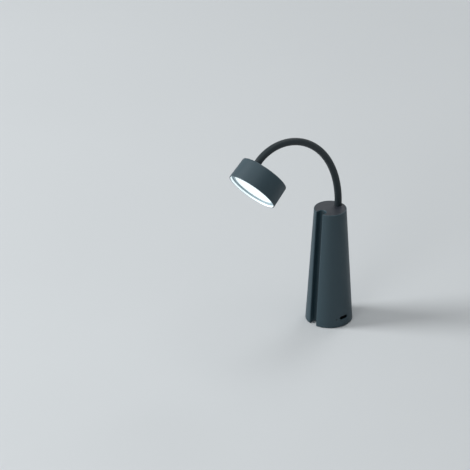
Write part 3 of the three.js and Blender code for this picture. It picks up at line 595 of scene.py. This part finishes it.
def turned_solid(profile, count):
    """Points and faces of a solid turned about Z, whose profile starts and ends at a pole on the axis."""
    inner = profile[1:-1]
    points = lathe(inner, count).reshape(-1, 3)
    low_pole, high_pole = (0.0, 0.0, profile[0][1]), (0.0, 0.0, profile[-1][1])
    low_number, high_number = len(points), len(points) + 1
    top = (len(inner) - 1) * count
    faces = bands(len(inner), count)
    faces += [[low_number, (step + 1) % count, step] for step in range(count)]
    faces += [[high_number, top + step, top + (step + 1) % count] for step in range(count)]
    return np.concatenate([points, [low_pole], [high_pole]]), faces


pipe_points, pipe_faces = turned_solid(pipe_profile, pipe_count)
pipe_points = np.stack([pipe_points[:, 2], pipe_points[:, 0], pipe_points[:, 1] + pipe_height], axis=1)
made_piece("charge_light_pipe", turned_about_axis(pipe_points, pipe_turn), pipe_faces, "base",
           [finishes["clear_plastic"]], ["charge_indicator"])

# Top cap. A flat disc of slate plastic, a shade smoother than the shell's, pressed into the recess in the deck;
# its greyer, darker colour is painted shade for the dimmer light on the top. It is notched for the groove and
# bored for the arm, and a touch on it works the light.
cap_gap = 0.2
cap_bevel = 0.15
cap_corner = 0.1
# Painted shade: the cap's greyer, darker colour stands for the dimmer, greyer light on the top, not a different
# plastic.
cap_plastic = plastic_with_wear_and_painted_highlight("cap_plastic", linear(33, 38, 46), roughness=0.46)


def cap_loop(z, inset):
    """The cap's outline at a height, its notch in step with the rim round it."""
    clear = rim_width + cap_gap + inset
    outline = grooved_outline(foot_outer - taper * base_height - clear, groove_half + clear,
                              groove_floor_centre + taper * base_height, cap_corner)
    return at_height(outline, z)


cap_low = base_height - cap_thickness
cap_loops = [cap_loop(cap_low, 0), cap_loop(base_height - cap_bevel, 0), cap_loop(base_height, cap_bevel)]
cap_hole_loops = [
    circle_loop(arm_place, arm_hole + cap_bevel, base_height),
    circle_loop(arm_place, arm_hole, base_height - cap_bevel),
    circle_loop(arm_place, arm_hole, cap_low),
]
cap_points, (edge_start, bore_start) = stacked(cap_loops, cap_hole_loops)
edge_size, bore_size = len(cap_loops[0]), len(cap_hole_loops[0])
cap_faces = bands(len(cap_loops), edge_size) + bands(len(cap_hole_loops), bore_size, bore_start)
for edge_loop, bore_loop in ((len(cap_loops) - 1, 0), (0, len(cap_hole_loops) - 1)):
    cap_faces += flat_face(cap_points, numbered(edge_loop, edge_size, edge_start),
                           numbered(bore_loop, bore_size, bore_start))
made_piece("top_cap_disc", cap_points, cap_faces, "base", [cap_plastic], ["top_cap"])

# Flexible arm. Ball and socket links inside, and over them one extruded silicone sleeve, matte and a little
# darker than the base. It is made in lengths that meet at the middles of the links, each round the one joint
# inside it.
sleeve_radius = 4.5
sleeve_bore = 3.95
sleeve_count = 72
sleeve_steps = 25
lead_radius = 0.5
lead_count = 12
lead_steps = 7
arm_crease = 60
sleeve_foot = 150.0
head_reach = 11.5
last_bend = math.radians(17.5)
arm_bodies = ["base"] + [f"link_{number:02d}" for number in range(1, 15)] + ["head"]
joint_place = {joint["child"]: np.array(joint["pos_m"]) / mm for joint in frame["joints"]}
arm_joints = np.array([joint_place[body] for body in arm_bodies[1:]])
link_pitch = np.linalg.norm(arm_joints[1] - arm_joints[0])
last_link = (arm_joints[-1] - arm_joints[-2]) / link_pitch
turn_over = Matrix.Rotation(last_bend, 3, "X")
head_axis = np.array(turn_over @ Vector(last_link))
arm_foot = np.array([*arm_place, sleeve_foot])
arm_end = arm_joints[-1] + head_reach * head_axis
corners = np.vstack([arm_foot, arm_joints, arm_end])
middles = (corners[:-1] + corners[1:]) / 2


def silicone(name, colour, roughness=0.58):
    """Matte silicone with a faint bloom and fine dust, its pattern fixed to the piece at rest."""
    made, shader, tree = new_material(name)
    place = tree.node("ShaderNodeAttribute", {"attribute_name": "rest_place"}, out="Vector")
    bloom = grain(tree, place, size=16 * mm, detail=4)
    fine = grain(tree, place, size=0.4 * mm, detail=3)
    dust = (grain(tree, place, size=0.9 * mm) * 6 - 3.9).clamped()
    clouded = bloom.mixed(shaded(colour, 0.92), shaded(colour, 1.1))
    feed(shader, Base_Color=(0.3 * dust).mixed(clouded, shaded(colour, 1.7)),
         Roughness=roughness + 0.14 * (bloom - 0.5), IOR=1.43, Sheen_Weight=0.06, Sheen_Roughness=0.4,
         Normal=bumped(tree, fine, distance=0.02 * mm, strength=0.5))
    return made


def arm_length(number, steps):
    """Centres and directions along one length of the arm, past the joint inside it, (steps, 3) each.

    Between the middles of two links the line is the parabola that touches both links there, so its point
    is the weighted sum (1-t)^2, 2t(1-t), t^2 of the first middle, the joint and the second middle.
    """
    before, joint, after = middles[number], corners[number + 1], middles[number + 1]
    t = np.linspace(0, 1, steps)[:, None]
    centres = (1 - t) ** 2 * before + 2 * t * (1 - t) * joint + t ** 2 * after
    along = (1 - t) * (joint - before) + t * (after - joint)
    if number == 0:
        centres, along = np.vstack([arm_foot, centres]), np.vstack([along[:1], along])
    if number == len(arm_joints) - 1:
        centres, along = np.vstack([centres, arm_end]), np.vstack([along, along[-1:]])
    return centres, along / np.linalg.norm(along, axis=1, keepdims=True)


def tube_loops(centres, along, radius, count):
    """Circles of points square to a line that bends only in the plane across X.

    A point is the centre plus radius times cosine of its turn along X, and radius times sine of it square
    to X and the line.
    """
    angle = np.linspace(0, 2 * math.pi, count, endpoint=False)
    side = np.broadcast_to([1.0, 0.0, 0.0], along.shape)
    up = np.cross(along, side)
    ring = np.cos(angle)[None, :, None] * side[:, None] + np.sin(angle)[None, :, None] * up[:, None]
    return centres[:, None] + radius * ring


def joined_bands(count, size):
    """Quads between count closed loops, and between the last loop and the first."""
    last = (count - 1) * size
    step = np.arange(size)
    beside = (step + 1) % size
    return bands(count, size) + np.stack([last + step, last + beside, beside, step], axis=1).tolist()


def tube_mesh(centres, along):
    """Points and faces of a length of the sleeve: its outside, and its bore back again."""
    outside = tube_loops(centres, along, sleeve_radius, sleeve_count)
    inside = tube_loops(centres, along, sleeve_bore, sleeve_count)[::-1]
    loops = np.concatenate([outside, inside])
    return loops.reshape(-1, 3), joined_bands(len(loops), sleeve_count)


def lead_mesh(centres, along):
    """Points and faces of a length of the lead, flat at both ends."""
    loops = tube_loops(centres, along, lead_radius, lead_count)
    ends = [numbered(0, lead_count), numbered(len(loops) - 1, lead_count)]
    return loops.reshape(-1, 3), bands(len(loops), lead_count) + ends


def arm_piece(name, number, points, faces, material, slot, replaced):
    """A length of the arm, which keeps its points at rest for its finish."""
    piece = made_piece(name, points, faces, None, [material], replaced, arm_crease)
    rest = piece.data.attributes.new("rest_place", "FLOAT_VECTOR", "POINT")
    rest.data.foreach_set("vector", (points * mm).astype(np.float32).ravel())
    first, last = middles[number], middles[number + 1]
    arm_bodies[number + 1]
    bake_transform(piece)


arm_silicone = silicone("arm_silicone", linear(13, 28, 34))
lead_insulation = silicone("arm_lead_insulation", linear(140, 48, 42), roughness=0.4)
for number in range(len(arm_joints)):
    arm_piece(f"arm_sleeve_{number + 1:02d}", number, *tube_mesh(*arm_length(number, sleeve_steps)),
              arm_silicone, "arm_rubber", ["arm_sleeve"])
    arm_piece(f"arm_lead_{number + 1:02d}", number, *lead_mesh(*arm_length(number, lead_steps)),
              lead_insulation, "lead_red", ["arm_lead"])

# Head housing. A round cup of the base's slate plastic, turned over at the end of the arm, which enters its
# back near the edge. The rim stands past the lens, and its inner wall, left white, has a painted glow that
# stands for the lens's light on it.
head_depth = 28.2
head_back_radius = 31.4
head_front_radius = 32.4
head_wall = 1.5
head_back_wall = 2.2
back_round = 1.8
back_steps = 8
rim_round = 0.5
rim_steps = 5
rim_slate_steps = 2
side_levels = 24
lit_levels = 8
head_count = 192
shading_ring = 0.1
ledge_depth = 0.8
ledge_level = 23.0
lens_level = 24.8
head_arm_offset = 22.0
head_arm_reach = 9.5
hole_bevel = 0.3
boss_radius = 6.3
boss_top = 8.0
sleeve_hole_end = 5.0
post_radius = 3.4
post_top = 13.0
post_circle = 21.8
post_angles = np.radians([0, 120, 240])
post_count = 24
near_glow = (0.64, 0.74, 0.77, 1)
far_glow = (0.54, 0.63, 0.66, 1)
head_up = np.array(turn_over @ Vector(np.cross(last_link, (1.0, 0.0, 0.0))))
head_origin = arm_joints[-1] + head_arm_reach * head_axis - head_arm_offset * head_up


def on_head(points):
    """Points drawn with the head's back at zero height, its lens up and its arm towards +Y, in place."""
    return head_origin + points @ np.array([[1.0, 0.0, 0.0], head_up, head_axis])


def head_radius(z):
    """The head's outside radius at a height over its back, which widens evenly towards the lens."""
    return head_back_radius + (head_front_radius - head_back_radius) * z / head_depth


def head_offset(tree, place):
    """Where a point lies from the middle of the head's back."""
    return tree.node("ShaderNodeVectorMath", {"operation": "SUBTRACT"},
                     {0: place, 1: tuple(head_origin * mm)})


def head_height(tree, place):
    """How far a point lies from the plane of the head's back, along its axis."""
    return tree.node("ShaderNodeVectorMath", {"operation": "DOT_PRODUCT"},
                     {0: head_offset(tree, place), 1: tuple(head_axis)}, out="Value")


def head_edges_wear_and_highlight(tree, place):
    """1 on the head's rounded edges, round its back and its rim, which wear and a painted highlight lighten."""
    height = head_height(tree, place)
    back = ramp(height, 0.8 * back_round * mm, 0.4 * back_round * mm)
    rim = ramp(height, (head_depth - 2 * rim_round) * mm, (head_depth - rim_round) * mm)
    return back.math("MAXIMUM", rim)


def painted_glow_wall(name):
    """White inner wall of the rim with a painted glow that stands for the lens's light, brightest beside it."""
    made, shader, tree = new_material(name)
    place = object_place(tree)
    past_lens = ramp(head_height(tree, place), lens_level * mm, head_depth * mm)
    fine = grain(tree, place, size=0.4 * mm)
    # Painted light: the emission stands for the lens's light falling on the wall.
    feed(shader, Base_Color=linear(190, 194, 196), Roughness=0.4 + 0.1 * fine, Emission_Strength=1.0,
         Emission_Color=past_lens.mixed(near_glow, far_glow),
         Normal=bumped(tree, fine, distance=0.01 * mm, strength=0.4))
    return made


head_plastic = plastic_with_wear_and_painted_highlight("head_plastic", slate, edges=head_edges_wear_and_highlight)
rim_white_painted_glow = painted_glow_wall("rim_white_painted_glow")
back_flat = head_radius(back_round) - back_round
front_outer, front_inner = head_radius(head_depth), head_radius(head_depth) - head_wall
cup_profile = [(back_flat - shading_ring, 0.0)]
cup_profile += [(back_flat + back_round * up, back_round * inward) for inward, up in quarter(back_steps)]
side_heights = np.linspace(back_round, head_depth - rim_round, side_levels)
cup_profile += [(head_radius(z), z) for z in side_heights[1:]]
cup_profile += [(front_outer - rim_round * inward, head_depth - rim_round * (1 - up))
                for inward, up in quarter(rim_steps)[1:]]
rim_start = len(cup_profile)
cup_profile += [(front_inner + rim_round * (1 - up), head_depth - rim_round * inward)
                for inward, up in quarter(rim_steps)]
lit_heights = np.linspace(head_depth - rim_round, ledge_level, lit_levels)
cup_profile += [(head_radius(z) - head_wall, z) for z in lit_heights[1:]]
rim_stop = len(cup_profile)
cup_profile += [(head_radius(z) - head_wall - ledge_depth, z) for z in (ledge_level, head_back_wall)]
cup_loops = list(lathe(cup_profile, head_count))
hole_place = (0.0, head_arm_offset)
entry_loops = [
    circle_loop(hole_place, arm_hole + hole_bevel, 0.0),
    circle_loop(hole_place, arm_hole, hole_bevel),
    circle_loop(hole_place, arm_hole, sleeve_hole_end),
]
boss_loops = [circle_loop(hole_place, boss_radius, z) for z in (head_back_wall, boss_top)]
post_places = [(post_circle * math.sin(turn), -post_circle * math.cos(turn)) for turn in post_angles]
post_loops = [[circle_loop(place, post_radius, z, post_count) for z in (head_back_wall, post_top)]
              for place in post_places]
head_points, starts = stacked(cup_loops, entry_loops, boss_loops, *post_loops)
cup_start, entry_start, boss_start, *post_starts = starts
last_cup = len(cup_loops) - 1
head_faces = bands(len(cup_loops), head_count)
head_faces += bands(len(entry_loops), hole_count, entry_start)
head_faces += bands(len(boss_loops), hole_count, boss_start)
for start in post_starts:
    head_faces += bands(2, post_count, start)
    head_faces += flat_face(head_points, numbered(1, post_count, start))
head_faces += flat_face(head_points, numbered(0, head_count, cup_start), numbered(0, hole_count, entry_start))
head_faces += flat_face(head_points, numbered(2, hole_count, entry_start))
head_faces += flat_face(head_points, numbered(1, hole_count, boss_start))
floor_holes = [numbered(0, post_count, start) for start in post_starts]
floor_holes += [numbered(0, hole_count, boss_start)]
head_faces += flat_face(head_points, numbered(last_cup, head_count, cup_start), *floor_holes)
housing = made_piece("head_housing_moulding", on_head(head_points), head_faces, "head",
                     [head_plastic, rim_white_painted_glow], ["head_housing"])
in_rim = np.zeros(len(housing.data.polygons), np.int32)
in_rim[(rim_start + rim_slate_steps) * head_count:(rim_stop - 1) * head_count] = 1
housing.data.polygons.foreach_set("material_index", in_rim)

# Lens and bezel. The opal diffuser is a flat moulded disc, which two rings of chips behind it light evenly.
# The satin grey bezel is pressed in over its flange, and its thin lip stands up along the rim's wall.
lens_radius = 26.6
lens_crown = 24.5
lens_round = 0.4
lens_flange_low = 21.6
lens_flange_inset = 2.6
lens_ring_inset = 1.5
lens_rings = 12
middle_glow = (0.7, 0.8, 0.82, 1)
edge_glow = (0.58, 0.68, 0.71, 1)
bezel_inner = 26.9
bezel_low = 23.3
bezel_top = 26.1
bezel_gap = 0.2
bezel_round = 0.3
bezel_lip = 0.6


def glowing_opal(name):
    """Opal plastic lit from behind, even over most of the disc and a little dimmer at its edge."""
    made, shader, tree = new_material(name)
    place = object_place(tree)
    outward = tree.node("ShaderNodeVectorMath", {"operation": "CROSS_PRODUCT"},
                        {0: head_offset(tree, place), 1: tuple(head_axis)})
    radius = tree.node("ShaderNodeVectorMath", {"operation": "LENGTH"}, {0: outward}, out="Value")
    edge = (radius / (lens_radius * mm)).math("POWER", 6)
    fine = grain(tree, place, size=0.5 * mm)
    dimmed = (edge * 0.8 + 0.08 * fine).clamped()
    feed(shader, Base_Color=linear(150, 154, 156), Roughness=0.35 + 0.1 * fine, Emission_Strength=1.0,
         Emission_Color=dimmed.mixed(middle_glow, edge_glow),
         Normal=bumped(tree, fine, distance=0.01 * mm, strength=0.3))
    return made


lens_opal = glowing_opal("lens_opal")
lens_profile = [(0.0, lens_flange_low)]
lens_profile += [(head_radius(z) - lens_flange_inset, z) for z in (lens_flange_low, ledge_level)]
lens_profile += [(lens_radius, ledge_level)]
lens_profile += [(lens_radius - lens_round * inward, lens_crown - lens_round * (1 - up))
                 for inward, up in quarter(rim_steps)]
lens_profile += [(lens_radius - lens_round - shading_ring, lens_crown)]
lens_profile += [(radius, lens_crown)
                 for radius in np.linspace(lens_radius - lens_ring_inset, lens_ring_inset, lens_rings)]
lens_profile += [(0.0, lens_crown)]
lens_points, lens_faces = turned_solid(lens_profile, head_count)
made_piece("diffuser_lens", on_head(lens_points), lens_faces, "head", [lens_opal],
           ["diffuser"])

bezel_satin = moulded("bezel_satin", linear(162, 180, 187), roughness=0.38, texture=0.3 * mm)
bezel_outer = head_radius(lens_level) - head_wall - bezel_gap
lip_inner = bezel_outer - bezel_lip
bezel_profile = [(bezel_inner, bezel_low), (bezel_outer, bezel_low), (bezel_outer, bezel_top - bezel_round)]
bezel_profile += [(bezel_outer - bezel_round * inward, bezel_top - bezel_round * (1 - up))
                  for inward, up in quarter()[1:]]
bezel_profile += [(lip_inner, bezel_top), (lip_inner, lens_level)]
bezel_profile += [(bezel_inner + bezel_round * (1 - up), lens_level - bezel_round * inward)
                  for inward, up in quarter()]
bezel_points = lathe(bezel_profile, head_count).reshape(-1, 3)
made_piece("bezel_frame", on_head(bezel_points), joined_bands(len(bezel_profile), head_count), "head",
           [bezel_satin], ["bezel_ring"])

# Pieces that keep their CAD shapes. Every node takes the finish of its slot in the record, hidden ones too;
# the sleeve's takes the foot's rubber, because the silicone needs the rest_place of the finished lengths. The
# receptacle alone is darkened, as painted shade, because its opening is black in the photo.
finishes.update({
    "slate_plastic": slate_plastic, "cap_plastic": cap_plastic, "arm_rubber": foot_rubber,
    "diffuser_plastic": lens_opal, "grey_plastic": bezel_satin,
})
# Painted shade: the receptacle's steel is darkened to stand in for the shade inside the opening.
painted_shade_receptacle = metal("painted_shade_steel", linear(24, 25, 27), roughness=0.5)
for part in frame["record"]["subparts"]:
    surface = frame["nodes"][part["node"]].data
    surface.materials.clear()
    surface.materials.append(painted_shade_receptacle if part["node"] == "usb_port" else finishes[part["material_slot"]])

# Studio. A wide pale floor that runs out to a pale surround, a large soft light from the left, weaker ones
# from the front, above and behind, and a low even fill, so that colours look about as they are written.
floor_reach = 12.0
floor_mesh = bpy.data.meshes.new("studio_floor")
floor_corners = floor_reach * np.array([(-1, -1, 0), (1, -1, 0), (1, 1, 0), (-1, 1, 0)])
floor_mesh.from_pydata(floor_corners.tolist(), [], [(0, 1, 2, 3)])
floor = bpy.data.objects.new("studio_floor", floor_mesh)
bpy.context.scene.collection.objects.link(floor)
floor_paint, floor_shader, floor_tree = new_material("floor_paint")
floor_cloud = grain(floor_tree, object_place(floor_tree), size=0.5, detail=3)
floor_colours = floor_cloud.mixed(linear(204, 209, 212), linear(210, 215, 218))
feed(floor_shader, Base_Color=floor_colours, Roughness=0.8)
floor_mesh.materials.append(floor_paint)

view_azimuth = math.radians(45.4)
view_elevation = math.radians(28.49)
view_focus = 3814.0
view_depth = 4767.5
origin_pixel = (328.81, 316.84)
image_size = 470
sensor = 36.0
right = np.array([math.cos(view_azimuth), math.sin(view_azimuth), 0.0])
forward = np.array([-math.sin(view_azimuth) * math.cos(view_elevation),
                    math.cos(view_azimuth) * math.cos(view_elevation), -math.sin(view_elevation)])
upward = np.cross(right, forward)
# The frame's origin lies view_depth mm ahead of the camera, beside and above its axis by as much as puts it
# on origin_pixel.
beside = (origin_pixel[0] - image_size / 2) / view_focus * view_depth
above = -(origin_pixel[1] - image_size / 2) / view_focus * view_depth
camera_place = -(right * beside + upward * above + forward * view_depth)
camera = bpy.data.objects.new("camera", bpy.data.cameras.new("camera"))
bpy.context.scene.collection.objects.link(camera)
camera.data.sensor_width = sensor
camera.data.lens = sensor * view_focus / image_size
camera.data.clip_start, camera.data.clip_end = 0.1, 100.0
camera.location = camera_place * mm
camera.rotation_euler = (math.pi / 2 - view_elevation, 0.0, view_azimuth)
bpy.context.scene.camera = camera

lamp_middle = np.array([0.0, -0.04, 0.13])
# Each softbox's azimuth from the camera's and its elevation in degrees, its distance and width in metres, and
# its power in watts.
softboxes = (
    ("key_softbox", -90, 26, 4.4, 2.0, 180),
    ("front_softbox", -30, 18, 4.8, 2.4, 45),
    ("top_softbox", 20, 82, 4.8, 4.0, 52),
    ("back_softbox", 150, 42, 4.8, 2.4, 36),
)
for name, azimuth, elevation, distance, width, power in softboxes:
    turn, rise = math.radians(azimuth) + view_azimuth, math.radians(elevation)
    away = np.array([math.sin(turn) * math.cos(rise), -math.cos(turn) * math.cos(rise), math.sin(rise)])
    light = bpy.data.objects.new(name, bpy.data.lights.new(name, "AREA"))
    light.data.shape = "DISK"
    light.data.size = width
    light.data.energy = power
    light.location = lamp_middle + distance * away
    light.rotation_mode = "QUATERNION"
    light.rotation_quaternion = Vector(away).to_track_quat("Z", "Y")
    bpy.context.scene.collection.objects.link(light)

world = bpy.data.worlds.new("studio")
world.use_nodes = True
bpy.context.scene.world = world
sky = Socket(world.node_tree)
fill_level = 0.18
camera_ray, glossy_ray, transmission_ray = [
    sky.node("ShaderNodeLightPath", out=f"Is {kind} Ray") for kind in ("Camera", "Glossy", "Transmission")
]
seen = (camera_ray + glossy_ray + transmission_ray).clamped()
backdrop = world.node_tree.nodes["Background"]
surround = seen.mixed((fill_level, fill_level, fill_level, 1), linear(208, 213, 216))
world.node_tree.links.new(surround.output, backdrop.inputs["Color"])

bpy.context.scene.view_settings.view_transform = "Standard"
